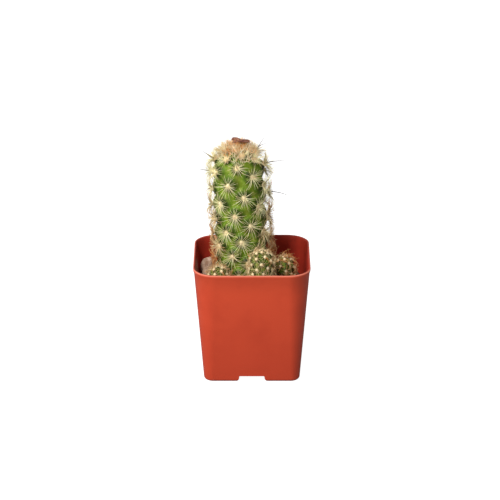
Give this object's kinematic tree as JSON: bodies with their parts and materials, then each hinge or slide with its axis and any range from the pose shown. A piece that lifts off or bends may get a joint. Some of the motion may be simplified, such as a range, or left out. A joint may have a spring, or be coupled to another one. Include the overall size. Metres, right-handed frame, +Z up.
{
  "type": "potted cactus",
  "caption": "Small column-shaped cactus with side offsets, tubercles and spine clusters, growing in a tapered square plastic nursery pot with potting mix and grit; stands on any flat surface.",
  "frame": {"origin": "on the surface the pot stands on, straight below the centre of the pot's square rim", "axes": "+Z up; +X towards the right and -Y towards the viewer when the pot is seen from its front, where the offsets grow"},
  "size_m": [0.057, 0.057, 0.1174],
  "materials": {
    "terracotta_plastic": "satin moulded plastic, brick red",
    "potting_mix": "loose dark peat and bark crumbs, matt",
    "cactus_skin": "waxy green plant skin, half matt",
    "radial_spines": "thin cream-white horny spines",
    "tan_spines": "matted tan young and old spines",
    "central_spines": "dark grey-brown stiff spines",
    "dried_flower": "shrivelled reddish-brown flower remains",
    "pumice": "rough pinkish-beige grit"
  },
  "bodies": {
    "root": {"pot": "terracotta_plastic", "potting_mix": "potting_mix", "main_stem": "cactus_skin", "main_spine_row_1": "radial_spines", "main_spine_row_2": "radial_spines", "main_spine_row_3": "radial_spines", "main_spine_row_4": "radial_spines", "main_spine_row_5": "radial_spines", "crown_spines": "tan_spines", "central_spine_01": "central_spines", "central_spine_02": "central_spines", "central_spine_03": "central_spines", "central_spine_04": "central_spines", "central_spine_05": "central_spines", "central_spine_06": "central_spines", "central_spine_07": "central_spines", "central_spine_08": "central_spines", "central_spine_09": "central_spines", "central_spine_10": "central_spines", "dried_flower_1": "dried_flower", "dried_flower_2": "dried_flower", "offset_front_right": "cactus_skin", "offset_front_right_spines": "tan_spines", "offset_right": "cactus_skin", "offset_right_spines": "tan_spines", "offset_front_left": "cactus_skin", "offset_front_left_spines": "tan_spines", "stone_1": "pumice", "stone_2": "pumice", "stone_3": "pumice", "stone_4": "pumice", "stone_5": "pumice", "stone_6": "pumice", "stone_7": "pumice"}
  },
  "joints": []
}
